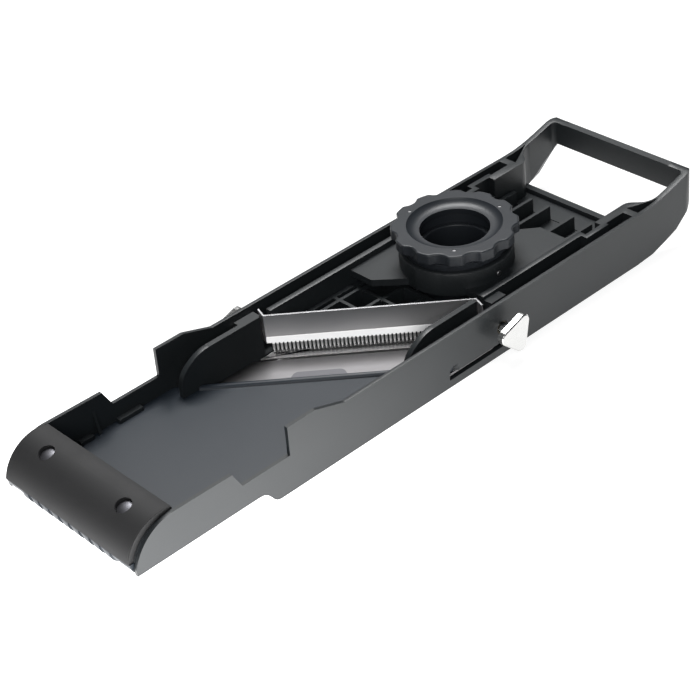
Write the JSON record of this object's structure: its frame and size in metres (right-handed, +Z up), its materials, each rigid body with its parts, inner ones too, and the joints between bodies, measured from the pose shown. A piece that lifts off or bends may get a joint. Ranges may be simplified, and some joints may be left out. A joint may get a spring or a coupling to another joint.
{
  "type": "mandoline slicer",
  "caption": "Hand mandoline slicer with a diagonal blade, a julienne comb, a ramp raised by a ring knob, clamp screws, a rubber foot and a loop handle.",
  "frame": {"origin": "centre of the object's box at the plane that the guide rails rest on", "axes": "+Y runs from the rubber foot to the handle, +X to the side with the blade slot, +Z up; the working face looks down"},
  "size_m": [0.124, 0.4001, 0.0503],
  "materials": {
    "frame_plastic": "fine satin grain, dark grey green",
    "deck_plastic": "smooth satin, grey blue",
    "knob_plastic": "satin, dark grey",
    "washer_plastic": "natural nylon",
    "foot_rubber": "matte moulded rubber",
    "blade_steel": "ground steel",
    "comb_steel": "brushed stainless sheet",
    "face_steel": "brushed stainless sheet",
    "spring_steel": "rolled spring steel",
    "screw_steel": "plain steel",
    "insert_brass": "turned brass",
    "thumbscrew_nickel": "satin nickel"
  },
  "bodies": {
    "frame": {"body_frame": "frame_plastic", "lower_deck": "deck_plastic", "blade_spring": "spring_steel", "thrust_washer": "washer_plastic", "stop_screw": "screw_steel", "foot_pad": "foot_rubber", "foot_rivets": "screw_steel", "thread_insert_near": "insert_brass", "thread_insert_far": "insert_brass"},
    "ramp": {"ramp": "frame_plastic", "ramp_face": "face_steel", "lift_post": "knob_plastic", "post_screws": "screw_steel"},
    "knob": {"knob_barrel": "knob_plastic", "knob_wheel": "knob_plastic", "knob_screws": "screw_steel"},
    "blade": {"blade": "blade_steel"},
    "comb": {"julienne_comb": "comb_steel"},
    "pad_near": {"clamp_pad_near": "screw_steel"},
    "pad_far": {"clamp_pad_far": "screw_steel"},
    "screw_near": {"thumbscrew_near": "thumbscrew_nickel"},
    "screw_far": {"thumbscrew_far": "thumbscrew_nickel"}
  },
  "joints": [
    {"name": "knob_spin", "type": "hinge", "parent": "frame", "child": "knob", "pos_m": [0, 0.0629, 0.04], "axis": [0, 0, -1], "range_deg": [0, 270]},
    {"name": "ramp_lift", "type": "slide", "parent": "frame", "child": "ramp", "axis": [0, 0, 1], "range_m": [0, 0.0048]},
    {"name": "blade_slide", "type": "slide", "parent": "frame", "child": "blade", "axis": [0.682, 0.7314, 0], "range_m": [0, 0.01]},
    {"name": "comb_set", "type": "slide", "parent": "frame", "child": "comb", "axis": [0, 0, 1], "range_m": [-0.0015, 0.02]},
    {"name": "pad_near_slide", "type": "slide", "parent": "frame", "child": "pad_near", "axis": [1, 0, 0], "range_m": [0, 0.001]},
    {"name": "thumbscrew_near_spin", "type": "hinge", "parent": "pad_near", "child": "screw_near", "pos_m": [0.05, 0.043, 0.016], "axis": [1, 0, 0], "range_deg": [0, 360]},
    {"name": "pad_far_slide", "type": "slide", "parent": "frame", "child": "pad_far", "axis": [-1, 0, 0], "range_m": [0, 0.001]},
    {"name": "thumbscrew_far_spin", "type": "hinge", "parent": "pad_far", "child": "screw_far", "pos_m": [-0.05, -0.0464, 0.016], "axis": [-1, 0, 0], "range_deg": [0, 360]}
  ],
  "couplings": [
    {"joint": "knob_spin", "follows": "ramp_lift", "rad_per_m": 981.7},
    {"joint": "pad_near_slide", "follows": "thumbscrew_near_spin", "m_per_rad": 0.000159},
    {"joint": "pad_far_slide", "follows": "thumbscrew_far_spin", "m_per_rad": 0.000159}
  ]
}
